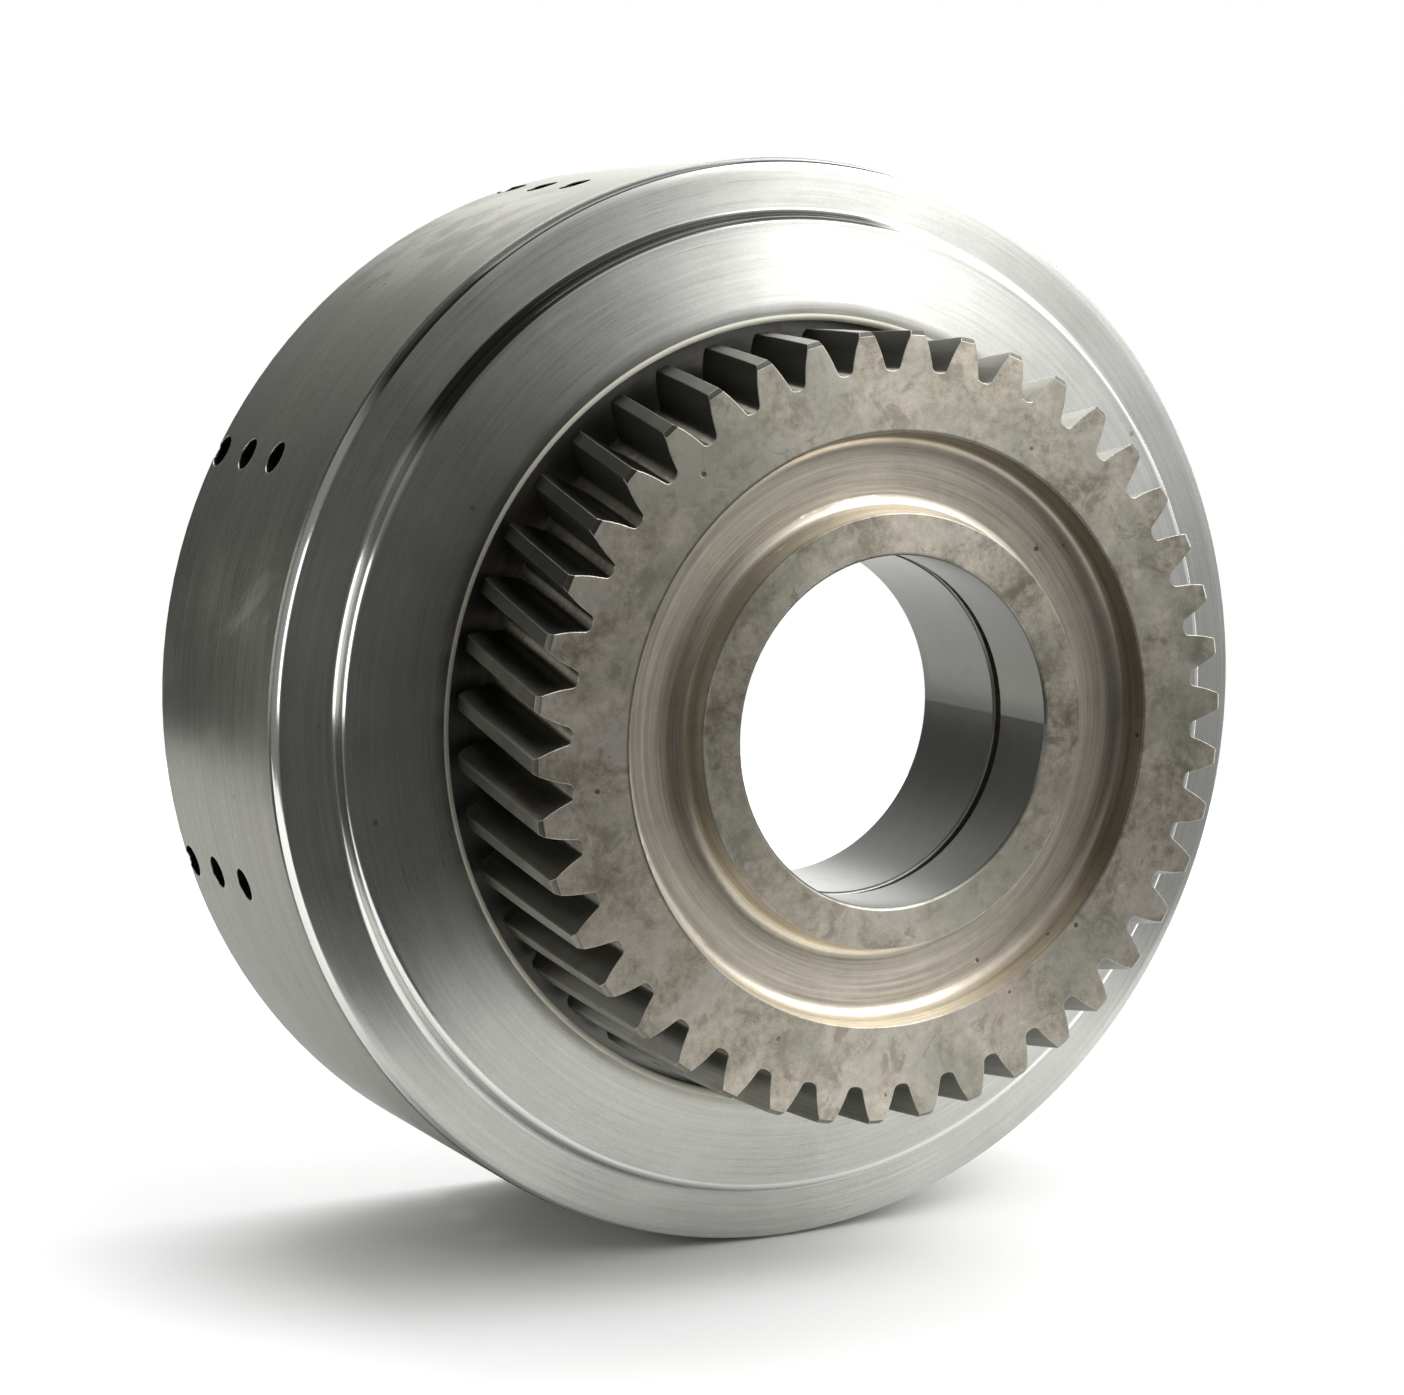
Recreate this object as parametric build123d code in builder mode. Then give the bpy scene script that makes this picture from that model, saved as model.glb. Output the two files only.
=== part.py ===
from build123d import *
import os
import math

os.makedirs("parts", exist_ok=True)

# ---------------------------------------------------------------------------
# Planetary gear set.  The axis of rotation is Y, the helical gear faces -Y,
# Z is up, and y = 0 is the front edge of the drum's cover.  All mm.
# ---------------------------------------------------------------------------

# helical gear, standing out of the front cover
HG_TEETH = 42
HG_MODULE_N = 4.0              # normal module
HG_HELIX = math.radians(12.5)  # right hand
HG_FRONT = -49.6               # front face
HG_REAR = -7.6                 # rear end of the teeth
HG_BOSS_R = 88.0               # boss that goes through the cover
HG_PHASE = 2.08                # degrees, a tooth centre at the front face
BORE_R = 40.0                  # plain bore, gear and sun sleeve alike

# drum
DRUM_R = 130.0
DRUM_FRONT = 3.4
DRUM_REAR = 79.2
SPLINES = 48
SPLINE_TIP_R = 113.5
SPLINE_ROOT_R = 117.5
OIL_HOLE_R = 4.0
OIL_ROWS = 8
OIL_Y = (37.5, 56.2, 74.0)
OIL_PHASE = 17.9               # degrees, first row of oil holes

# front cover
COVER_R = 129.0
OPENING_R = 92.0
SPIGOT_R = 118.0

# epicyclic train
EP_MODULE = 2.5
SUN_TEETH = 48
PLANET_TEETH = 18
RING_TEETH = 84
PLANETS = 4
PLANET_PHASE = 45.0            # degrees, first planet
FLANK_GAP = 0.11               # taken off each flank for backlash
CENTRE_R = EP_MODULE * (SUN_TEETH + PLANET_TEETH) / 2
SUN_BORE_R = 52.0
GEAR_Y0, GEAR_Y1 = 5.6, 21.8   # planet faces

# carrier
PLATE_F0, PLATE_F1 = -2.3, 4.2
PLATE_R0, PLATE_R1 = 23.2, 31.2
CARRIER_R = 104.6
PIN_R = 10.0
PLANET_BORE_R = 13.05
NEEDLE_R = 1.5
BOLT_R = 4.0                   # M8 screws through the posts into the gear
BOLT_CIRCLE_R = 73.2
SLEEVE_R = 46.0
ROLLER_R = 2.5


def at(y):
    """Sketch plane at the given y; sketch x is X, sketch y is Z, normal -Y."""
    return Plane.XZ.offset(-y)


def polar(r, a):
    return (r * math.cos(a), r * math.sin(a))


def inv(a):
    return math.tan(a) - a


def half_angle(r, teeth, module, pressure, gap):
    """Half the angular tooth thickness of an involute gear at radius r."""
    rp = teeth * module / 2
    rb = rp * math.cos(pressure)
    base = math.pi / (2 * teeth) - gap / rp + inv(pressure)
    if r <= rb:
        return base
    return base - inv(math.acos(rb / r))


def spur_outline(teeth, module, root, tip, gap, phase, steps=3, flare=0.35, foot=0.6, centre=(0, 0)):
    """Closed outline of a spur gear, one polyline, about the given centre."""
    pressure = math.radians(20)
    pitch = 2 * math.pi / teeth
    pts = []
    for i in range(teeth):
        c = math.radians(phase) + i * pitch
        flank = []
        if foot:
            flank.append((root, half_angle(root + foot, teeth, module, pressure, gap) + flare / root))
        for k in range(steps + 1):
            r = root + foot + (tip - root - foot) * k / steps
            flank.append((r, half_angle(r, teeth, module, pressure, gap)))
        pts += [polar(r, c - h) for r, h in flank]
        pts += [polar(r, c + h) for r, h in reversed(flank)]
    return [(x + centre[0], z + centre[1]) for x, z in pts]


def ring_section(points):
    """Solid of revolution about Y from (r, y) points."""
    with BuildPart() as body:
        with BuildSketch(Plane.XY):
            with BuildLine():
                Polyline(*points, close=True)
            make_face()
        revolve(axis=Axis.Y)
    return body.part


def save(part, name):
    part.label = name
    export_step(part, "parts/" + name + ".step")


def washer(name, r0, r1, y0, y1, spots=None):
    """Flat ring, or one at each of the (x, z) spots in a single group."""
    with BuildPart() as w:
        with BuildSketch(at(y1)):
            with Locations(*(spots or [(0, 0)])):
                Circle(r1)
                Circle(r0, mode=Mode.SUBTRACT)
        extrude(amount=y1 - y0)
        if spots is None:
            chamfer(w.edges().filter_by(GeomType.CIRCLE), 0.15)
    save(w.part, name)


planet_angles = [math.radians(PLANET_PHASE + 360 * k / PLANETS) for k in range(PLANETS)]
planet_spots = [polar(CENTRE_R, a) for a in planet_angles]
post_angles = [math.radians(PLANET_PHASE + 360 * (k + 0.5) / PLANETS) for k in range(PLANETS)]
bolt_spots = [polar(BOLT_CIRCLE_R, a + s * math.radians(11)) for a in post_angles for s in (-1, 1)]
dowel_spots = [polar(BOLT_CIRCLE_R, a) for a in post_angles]

# ---------------------------------------------------------------------------
# drum
# ---------------------------------------------------------------------------
with BuildPart() as drum:
    with BuildSketch(Plane.XY):
        with BuildLine():
            Polyline(
                (SPIGOT_R, DRUM_FRONT), (DRUM_R - 0.5, DRUM_FRONT), (DRUM_R, DRUM_FRONT + 0.5),
                (DRUM_R, DRUM_REAR - 1.6), (DRUM_R - 1.6, DRUM_REAR),
                (SPLINE_ROOT_R + 1.0, DRUM_REAR), (SPLINE_TIP_R, DRUM_REAR - 5.0),
                (SPLINE_TIP_R, 9.0), (SPIGOT_R, 9.0), close=True)
        make_face()
    revolve(axis=Axis.Y)
    # plate spline, cut from the rear as far as the cover's spigot
    groove = []
    for i in range(SPLINES):
        a = math.radians(OIL_PHASE + 360 * i / SPLINES)
        groove.append([polar(SPLINE_TIP_R - 1, a - 4.6 / SPLINE_TIP_R),
                       polar(SPLINE_ROOT_R, a - 3.5 / SPLINE_ROOT_R),
                       polar(SPLINE_ROOT_R + 0.05, a),
                       polar(SPLINE_ROOT_R, a + 3.5 / SPLINE_ROOT_R),
                       polar(SPLINE_TIP_R - 1, a + 4.6 / SPLINE_TIP_R)])
    with BuildSketch(at(DRUM_REAR + 1)):
        for g in groove:
            with BuildLine():
                Polyline(*g, close=True)
            make_face()
    extrude(amount=DRUM_REAR + 1 - 9.0, mode=Mode.SUBTRACT)
    # groove of the ring gear's snap ring
    with BuildSketch(Plane.XY):
        with BuildLine():
            Polyline((SPLINE_TIP_R - 2, 22.9), (119.6, 22.9), (119.6, 25.9),
                     (SPLINE_TIP_R - 2, 25.9), close=True)
        make_face()
    revolve(axis=Axis.Y, mode=Mode.SUBTRACT)
    # radial oil holes, three in line along the axis, each with a broken edge
    for i in range(OIL_ROWS):
        a = math.radians(OIL_PHASE + 360 * i / OIL_ROWS)
        d = Vector(math.cos(a), 0, math.sin(a))
        for y in OIL_Y:
            hole = Plane(origin=d * (SPLINE_TIP_R - 3) + Vector(0, y, 0), x_dir=(0, 1, 0), z_dir=d)
            with BuildSketch(hole):
                Circle(OIL_HOLE_R)
            extrude(amount=DRUM_R + 3 - SPLINE_TIP_R + 3, mode=Mode.SUBTRACT)
    # blind holes of the cover's dowels
    with BuildSketch(at(12.2)):
        with PolarLocations(122.2, 6, start_angle=OIL_PHASE + 22.5):
            Circle(2.5)
    extrude(amount=12.2 - DRUM_FRONT, mode=Mode.SUBTRACT)
save(drum.part, "drum")

# ---------------------------------------------------------------------------
# front cover: shouldered rim, nearly flat face, plain opening, spigot behind
# ---------------------------------------------------------------------------
with BuildPart() as front_cover:
    with BuildSketch(Plane.XY):
        with BuildLine():
            Line((OPENING_R, -4.2), (OPENING_R, -8.5))
            Line((OPENING_R, -8.5), (OPENING_R + 1.1, -9.5))
            Line((OPENING_R + 1.1, -9.5), (114.6, -6.2))
            ThreePointArc((114.6, -6.2), (115.75, -5.75), (116.2, -4.6))
            Line((116.2, -4.6), (116.45, -3.0))
            ThreePointArc((116.45, -3.0), (117.1, -1.75), (118.4, -1.25))
            Line((118.4, -1.25), (128.3, -0.2))
            Line((128.3, -0.2), (COVER_R, 0.35))
            Line((COVER_R, 0.35), (126.6, 1.5))
            Line((126.6, 1.5), (126.6, DRUM_FRONT))
            Line((126.6, DRUM_FRONT), (SPIGOT_R, DRUM_FRONT))
            Line((SPIGOT_R, DRUM_FRONT), (SPIGOT_R, 8.1))
            Line((SPIGOT_R, 8.1), (117.4, 8.7))
            Line((117.4, 8.7), (112.6, 8.7))
            Line((112.6, 8.7), (112.6, 4.4))
            Line((112.6, 4.4), (106.4, 4.4))
            Line((106.4, 4.4), (106.4, -4.2))
            Line((106.4, -4.2), (OPENING_R, -4.2))
        make_face()
    revolve(axis=Axis.Y)
    with BuildSketch(at(DRUM_FRONT)):
        with PolarLocations(122.2, 6, start_angle=OIL_PHASE + 22.5):
            Circle(2.5)
    extrude(amount=DRUM_FRONT - 0.7, mode=Mode.SUBTRACT)
save(front_cover.part, "front_cover")

with BuildPart() as cover_dowels:
    with BuildSketch(at(12.0)):
        with PolarLocations(122.2, 6, start_angle=OIL_PHASE + 22.5):
            Circle(2.5)
    extrude(amount=12.0 - 0.9)
save(cover_dowels.part, "cover_dowels")

# ---------------------------------------------------------------------------
# ring gear, hung in the drum's spline, and its snap ring
# ---------------------------------------------------------------------------
ring_pitch_r = EP_MODULE * RING_TEETH / 2
with BuildPart() as ring_gear:
    # nose inside the spigot, then the splined body
    with BuildSketch(at(22.8)):
        Circle(112.3)
    extrude(amount=22.8 - 4.8)
    tooth = []
    for i in range(SPLINES):
        a = math.radians(OIL_PHASE + 360 * i / SPLINES)
        tooth.append([polar(111.0, a - 4.75 / SPLINE_TIP_R),
                      polar(SPLINE_ROOT_R - 0.35, a - 3.4 / SPLINE_ROOT_R),
                      polar(SPLINE_ROOT_R - 0.35, a + 3.4 / SPLINE_ROOT_R),
                      polar(111.0, a + 4.75 / SPLINE_TIP_R)])
    with BuildSketch(at(22.8)):
        Circle(113.2)
        for g in tooth:
            with BuildLine():
                Polyline(*g, close=True)
            make_face()
    extrude(amount=22.8 - 9.2)
    with BuildSketch(at(23.0)):
        with BuildLine():
            Polyline(*spur_outline(RING_TEETH, EP_MODULE, ring_pitch_r - 2.15,
                                   ring_pitch_r + 3.125, -FLANK_GAP, PLANET_PHASE + 180 / RING_TEETH,
                                   foot=0), close=True)
        make_face()
    extrude(amount=23.0 - 4.6, mode=Mode.SUBTRACT)
save(ring_gear.part, "ring_gear")

with BuildPart() as snap_ring:
    with BuildSketch(at(25.8)):
        Circle(119.3)
        Circle(112.6, mode=Mode.SUBTRACT)
        with Locations((0, -116)):
            Rectangle(12, 10, mode=Mode.SUBTRACT)
    extrude(amount=25.8 - 22.95)
save(snap_ring.part, "ring_gear_snap_ring")

# ---------------------------------------------------------------------------
# helical gear, with its recessed web and counterbored hub
# ---------------------------------------------------------------------------
mt = HG_MODULE_N / math.cos(HG_HELIX)
at_press = math.atan(math.tan(math.radians(20)) / math.cos(HG_HELIX))
hg_pitch_r = HG_TEETH * mt / 2
HG_TIP_R = hg_pitch_r + HG_MODULE_N
HG_ROOT_R = hg_pitch_r - 1.2 * HG_MODULE_N


def helical_outline(phase):
    """Tooth flanks as lists of points, root to tip, for one transverse section."""
    pitch = 2 * math.pi / HG_TEETH
    teeth = []
    for i in range(HG_TEETH):
        c = math.radians(phase) + i * pitch
        flank = []
        r0 = HG_ROOT_R + 1.5
        h0 = half_angle(r0, HG_TEETH, mt, at_press, 0.06)
        flank.append((HG_ROOT_R, h0 + 1.15 / HG_ROOT_R))
        flank.append((HG_ROOT_R + 0.45, h0 + 0.45 / HG_ROOT_R))
        flank.append((r0, h0 + 0.02 / HG_ROOT_R))
        for k in (1, 2, 3, 4):
            r = r0 + (HG_TIP_R - r0) * k / 4
            flank.append((r, half_angle(r, HG_TEETH, mt, at_press, 0.06)))
        teeth.append(([polar(r, c - h) for r, h in flank],
                      [polar(r, c + h) for r, h in reversed(flank)],
                      polar(HG_TIP_R, c),
                      polar(HG_ROOT_R - 0.15, c + pitch / 2)))
    return teeth


twist = math.degrees(math.tan(HG_HELIX) * (HG_REAR - HG_FRONT) / hg_pitch_r)
with BuildPart() as input_gear:
    for k in range(3):
        y = HG_REAR + (HG_FRONT - HG_REAR) * k / 2
        # the phase grows towards the front: a right-hand helix
        teeth = helical_outline(HG_PHASE - twist * (1 - k / 2))
        with BuildSketch(at(y)):
            with BuildLine():
                for i, (up, down, tip, root) in enumerate(teeth):
                    Spline(*up)
                    ThreePointArc(up[-1], tip, down[0])
                    Spline(*down)
                    ThreePointArc(down[-1], root, teeth[(i + 1) % HG_TEETH][0][0])
            make_face()
    loft()
    # boss behind the teeth
    with BuildSketch(at(PLATE_F0)):
        Circle(HG_BOSS_R - 8)
    extrude(amount=PLATE_F0 - HG_REAR)
    # tip corners broken at both ends
    with BuildSketch(Plane.XY):
        with BuildLine():
            Polyline((HG_TIP_R - 1.0, HG_FRONT - 1), (HG_TIP_R - 1.0, HG_FRONT), (HG_TIP_R + 1, HG_FRONT + 2.0),
                     (HG_TIP_R + 2, HG_FRONT + 2.0), (HG_TIP_R + 2, HG_FRONT - 1), close=True)
        make_face()
        with BuildLine():
            Polyline((HG_TIP_R - 1.0, HG_REAR + 1), (HG_TIP_R - 1.0, HG_REAR), (HG_TIP_R + 1, HG_REAR - 2.0),
                     (HG_TIP_R + 2, HG_REAR - 2.0), (HG_TIP_R + 2, HG_REAR + 1), close=True)
        make_face()
    revolve(axis=Axis.Y, mode=Mode.SUBTRACT)
    # web recess in the front face
    with BuildSketch(Plane.XY):
        with BuildLine():
            Line((49.4, HG_FRONT - 1), (49.4, HG_FRONT + 0.4))
            Line((49.4, HG_FRONT + 0.4), (50.0, HG_FRONT + 5.0))
            ThreePointArc((50.0, HG_FRONT + 5.0), (51.0, HG_FRONT + 7.2), (53.2, HG_FRONT + 8.0))
            Line((53.2, HG_FRONT + 8.0), (63.6, HG_FRONT + 7.4))
            ThreePointArc((63.6, HG_FRONT + 7.4), (65.9, HG_FRONT + 6.4), (66.9, HG_FRONT + 4.0))
            Line((66.9, HG_FRONT + 4.0), (67.5, HG_FRONT + 0.3))
            Line((67.5, HG_FRONT + 0.3), (67.5, HG_FRONT - 1))
            Line((67.5, HG_FRONT - 1), (49.4, HG_FRONT - 1))
        make_face()
    revolve(axis=Axis.Y, mode=Mode.SUBTRACT)
    # plain bore, counterbore for the needle bearing, relief for the sun's flange
    with BuildSketch(Plane.XY):
        with BuildLine():
            Polyline((0, HG_FRONT - 1), (BORE_R + 1.6, HG_FRONT - 1), (BORE_R, HG_FRONT + 0.6), (BORE_R, -30.7),
                     (BORE_R + 0.5, -30.2), (51.04, -30.2), (51.04, -4.0), (64.2, -4.0),
                     (64.2, PLATE_F0 + 1), (0, PLATE_F0 + 1), close=True)
        make_face()
    revolve(axis=Axis.Y, mode=Mode.SUBTRACT)
    # holes for the carrier's bolts and dowels
    with BuildSketch(at(PLATE_F0)):
        with Locations(*bolt_spots):
            Circle(BOLT_R)
    extrude(amount=PLATE_F0 + 17.0, mode=Mode.SUBTRACT)
    with BuildSketch(at(PLATE_F0)):
        with Locations(*dowel_spots):
            Circle(4.0)
    extrude(amount=PLATE_F0 + 12.5, mode=Mode.SUBTRACT)
save(input_gear.part, "input_gear")

# ---------------------------------------------------------------------------
# needle bearing between the gear and the sun's sleeve
# ---------------------------------------------------------------------------
ROLLERS = 30
roller_pcr = (SLEEVE_R + 51.04) / 2
with BuildPart() as gear_rollers:
    with BuildSketch(at(-7.0)):
        with PolarLocations(roller_pcr, ROLLERS):
            Circle(ROLLER_R)
    extrude(amount=18.0)
save(gear_rollers.part, "gear_rollers")

with BuildPart() as gear_cage:
    with BuildSketch(at(-5.0)):
        Circle(roller_pcr + 1.3)
        Circle(roller_pcr - 1.3, mode=Mode.SUBTRACT)
    extrude(amount=22.0)
    for i in range(ROLLERS):
        a = math.radians(360 * i / ROLLERS)
        d = Vector(math.cos(a), 0, math.sin(a))
        pocket = Plane(origin=d * (roller_pcr - 4) + Vector(0, -16.0, 0), x_dir=(0, 1, 0), z_dir=d)
        with BuildSketch(pocket):
            Rectangle(18.4, 5.2)
        extrude(amount=8, mode=Mode.SUBTRACT)
save(gear_cage.part, "gear_bearing_cage")

washer("gear_thrust_washer", 43.6, 50.6, -30.15, -27.7)
washer("sun_front_washer", 52.0, 61.4, -3.95, -2.4)
washer("sun_rear_washer", 58.8, 62.1, 22.4, 23.15)
washer("cover_thrust_washer", 93.6, 103.6, -4.15, -2.4)

# ---------------------------------------------------------------------------
# sun: sleeve with the same bore as the gear, flange, toothed ring with dogs
# ---------------------------------------------------------------------------
sun_pitch_r = EP_MODULE * SUN_TEETH / 2
with BuildPart() as sun_hub:
    with BuildSketch(at(22.3)):
        with BuildLine():
            Polyline(*spur_outline(SUN_TEETH, EP_MODULE, sun_pitch_r - 3.125,
                                   sun_pitch_r + 2.4, FLANK_GAP, PLANET_PHASE), close=True)
        make_face()
    extrude(amount=22.3 - 3.74)
    with BuildSketch(Plane.XY):
        with BuildLine():
            Polyline((0, 3.74), (0, -27.6), (SLEEVE_R - 0.8, -27.6), (SLEEVE_R, -26.8), (SLEEVE_R, -2.3),
                     (61.4, -2.3), (62.0, -1.7), (62.0, 3.74), close=True)
        make_face()
    revolve(axis=Axis.Y)
    with BuildSketch(Plane.XY):
        with BuildLine():
            Polyline((0, -28.6), (BORE_R + 1.5, -28.6), (BORE_R, -27.1), (BORE_R, 3.3), (BORE_R + 0.5, 3.74),
                     (SUN_BORE_R, 3.74), (SUN_BORE_R, 21.9), (SUN_BORE_R + 1.4, 23.3), (0, 23.3), close=True)
        make_face()
    revolve(axis=Axis.Y, mode=Mode.SUBTRACT)
    # six dog slots for the mating sleeve
    with BuildSketch(at(23.3)):
        with PolarLocations(SUN_BORE_R + 1.4, 6):
            Rectangle(7.2, 11.0)
    extrude(amount=7.0, mode=Mode.SUBTRACT)
save(sun_hub.part, "sun_hub")

# ---------------------------------------------------------------------------
# planets on needle rollers, pins pressed in the carrier plates
# ---------------------------------------------------------------------------
planet_pitch_r = EP_MODULE * PLANET_TEETH / 2
for k, spot in enumerate(planet_spots):
    turn = math.degrees(planet_angles[k]) + 180 + 180 / PLANET_TEETH
    with BuildPart() as planet:
        with BuildSketch(at(GEAR_Y1)):
            with BuildLine():
                Polyline(*spur_outline(PLANET_TEETH, EP_MODULE, planet_pitch_r - 3.125,
                                       planet_pitch_r + 2.4, FLANK_GAP, turn, steps=4, centre=spot), close=True)
            make_face()
        extrude(amount=GEAR_Y1 - GEAR_Y0)
        with BuildSketch(at(GEAR_Y1)):
            with Locations(spot):
                Circle(PLANET_BORE_R)
        extrude(amount=GEAR_Y1 - GEAR_Y0, mode=Mode.SUBTRACT)
    save(planet.part, "planet_%d" % (k + 1))

    needle_pcr = (PIN_R + PLANET_BORE_R) / 2
    with BuildPart() as needles:
        with BuildSketch(at(GEAR_Y1 - 0.4)):
            with Locations(spot):
                with PolarLocations(needle_pcr, 22):
                    Circle(NEEDLE_R)
        extrude(amount=GEAR_Y1 - GEAR_Y0 - 0.8)
    save(needles.part, "planet_needles_%d" % (k + 1))

washer("planet_front_washers", PIN_R + 0.15, 18.4, 4.22, 5.5, planet_spots)
washer("planet_rear_washers", PIN_R + 0.15, 18.4, 21.9, 23.18, planet_spots)

KEEPER_Y = 27.2
with BuildPart() as planet_pins:
    with BuildSketch(at(30.9)):
        with Locations(*planet_spots):
            Circle(PIN_R)
    extrude(amount=30.9 + 1.9)
    chamfer(planet_pins.edges().filter_by(GeomType.CIRCLE), 0.6)
    # oil way up each pin, with a cross hole to the needles
    with BuildSketch(at(31.9)):
        with Locations(*planet_spots):
            Circle(3.0)
    extrude(amount=31.9 - 10.0, mode=Mode.SUBTRACT)
    for k, a in enumerate(planet_angles):
        d = Vector(math.cos(a), 0, math.sin(a))
        cross = Plane(origin=d * (CENTRE_R - PIN_R - 1) + Vector(0, 13.7, 0), x_dir=(0, 1, 0), z_dir=d)
        with BuildSketch(cross):
            Circle(1.5)
        extrude(amount=2 * PIN_R + 2, mode=Mode.SUBTRACT)
        keeper = Plane(origin=d * (CENTRE_R + 4.6) + Vector(0, KEEPER_Y, 0), x_dir=(0, 1, 0), z_dir=d)
        with BuildSketch(keeper):
            Circle(2.0)
        extrude(amount=10, mode=Mode.SUBTRACT)
save(planet_pins.part, "planet_pins")

with BuildPart() as pin_keepers:
    for a in planet_angles:
        d = Vector(math.cos(a), 0, math.sin(a))
        keeper = Plane(origin=d * (CENTRE_R + 5.0) + Vector(0, KEEPER_Y, 0), x_dir=(0, 1, 0), z_dir=d)
        with BuildSketch(keeper):
            Circle(2.0)
            Circle(1.2, mode=Mode.SUBTRACT)
        extrude(amount=CARRIER_R - CENTRE_R - 5.0 - 0.8)
save(pin_keepers.part, "pin_keepers")

# ---------------------------------------------------------------------------
# carrier: front plate with four posts, rear plate, dowels and bolts
# ---------------------------------------------------------------------------
with BuildPart() as carrier_front:
    with BuildSketch(at(PLATE_F1)):
        Circle(CARRIER_R)
        Circle(63.2, mode=Mode.SUBTRACT)
    extrude(amount=PLATE_F1 - PLATE_F0)
    with BuildSketch(at(PLATE_R0)):
        for a in post_angles:
            w0, w1 = math.radians(23), math.radians(21)
            with BuildLine():
                r0, r1 = 66.0, 98.5
                Line(polar(r0, a - w0), polar(r1, a - w1))
                ThreePointArc(polar(r1, a - w1), polar(r1, a), polar(r1, a + w1))
                Line(polar(r1, a + w1), polar(r0, a + w0))
                ThreePointArc(polar(r0, a + w0), polar(r0, a), polar(r0, a - w0))
            make_face()
    extrude(amount=PLATE_R0 - PLATE_F1)
    with BuildSketch(at(PLATE_R0)):
        with Locations(*bolt_spots):
            Circle(BOLT_R + 0.2)
        with Locations(*dowel_spots):
            Circle(4.0)
    extrude(amount=PLATE_R0 - PLATE_F0, mode=Mode.SUBTRACT)
    with BuildSketch(at(PLATE_F1)):
        with Locations(*planet_spots):
            Circle(PIN_R)
    extrude(amount=PLATE_F1 + 1.9, mode=Mode.SUBTRACT)
save(carrier_front.part, "carrier_front")

with BuildPart() as carrier_rear:
    with BuildSketch(at(PLATE_R1)):
        Circle(CARRIER_R)
        Circle(58.4, mode=Mode.SUBTRACT)
    extrude(amount=PLATE_R1 - PLATE_R0)
    chamfer(carrier_rear.faces().sort_by(Axis.Y)[-1].edges(), 0.8)
    with BuildSketch(at(PLATE_R1)):
        with Locations(*bolt_spots):
            Circle(BOLT_R + 0.2)
        with Locations(*dowel_spots):
            Circle(4.0)
        with Locations(*planet_spots):
            Circle(PIN_R)
    extrude(amount=PLATE_R1 - PLATE_R0, mode=Mode.SUBTRACT)
    for a in planet_angles:
        d = Vector(math.cos(a), 0, math.sin(a))
        keeper = Plane(origin=d * (CENTRE_R + 5.0) + Vector(0, KEEPER_Y, 0), x_dir=(0, 1, 0), z_dir=d)
        with BuildSketch(keeper):
            Circle(2.0)
        extrude(amount=CARRIER_R - CENTRE_R, mode=Mode.SUBTRACT)
save(carrier_rear.part, "carrier_rear")

with BuildPart() as carrier_dowels:
    with BuildSketch(at(30.8)):
        with Locations(*dowel_spots):
            Circle(4.0)
    extrude(amount=30.8 + 12.2)
save(carrier_dowels.part, "carrier_dowels")

with BuildPart() as carrier_bolts:
    with BuildSketch(at(PLATE_R1)):
        with Locations(*bolt_spots):
            Circle(BOLT_R)
    extrude(amount=PLATE_R1 + 16.0)
    with BuildSketch(at(PLATE_R1 + 8.0)):
        with Locations(*bolt_spots):
            Circle(6.5)
    extrude(amount=8.0)
    chamfer(carrier_bolts.edges().filter_by(GeomType.CIRCLE).group_by(Axis.Y)[-1], 0.6)
    with BuildSketch(at(PLATE_R1 + 8.0)):
        with Locations(*bolt_spots):
            RegularPolygon(radius=3.0, side_count=6, major_radius=False)
    extrude(amount=4.5, mode=Mode.SUBTRACT)
save(carrier_bolts.part, "carrier_bolts")
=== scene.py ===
import math

import bpy
from mathutils import Matrix, Vector


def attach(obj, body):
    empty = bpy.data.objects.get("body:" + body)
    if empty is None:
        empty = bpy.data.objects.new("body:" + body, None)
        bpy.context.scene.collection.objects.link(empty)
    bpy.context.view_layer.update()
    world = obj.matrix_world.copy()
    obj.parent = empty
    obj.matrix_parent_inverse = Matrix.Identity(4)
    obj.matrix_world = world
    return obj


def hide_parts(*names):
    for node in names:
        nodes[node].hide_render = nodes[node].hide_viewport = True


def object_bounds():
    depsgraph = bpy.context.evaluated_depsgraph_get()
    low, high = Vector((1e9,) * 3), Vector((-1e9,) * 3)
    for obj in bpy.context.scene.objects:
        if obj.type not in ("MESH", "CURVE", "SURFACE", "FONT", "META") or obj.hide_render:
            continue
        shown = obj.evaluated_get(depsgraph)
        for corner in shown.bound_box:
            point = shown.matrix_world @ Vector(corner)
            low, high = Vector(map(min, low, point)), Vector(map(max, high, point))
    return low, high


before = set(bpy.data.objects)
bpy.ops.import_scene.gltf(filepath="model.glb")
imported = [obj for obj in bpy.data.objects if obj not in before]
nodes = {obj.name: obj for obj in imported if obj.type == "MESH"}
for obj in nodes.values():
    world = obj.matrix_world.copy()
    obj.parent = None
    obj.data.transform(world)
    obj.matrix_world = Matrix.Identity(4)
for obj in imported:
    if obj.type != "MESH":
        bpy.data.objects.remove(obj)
cad_lo, cad_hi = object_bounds()
scene = bpy.context.scene


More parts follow.
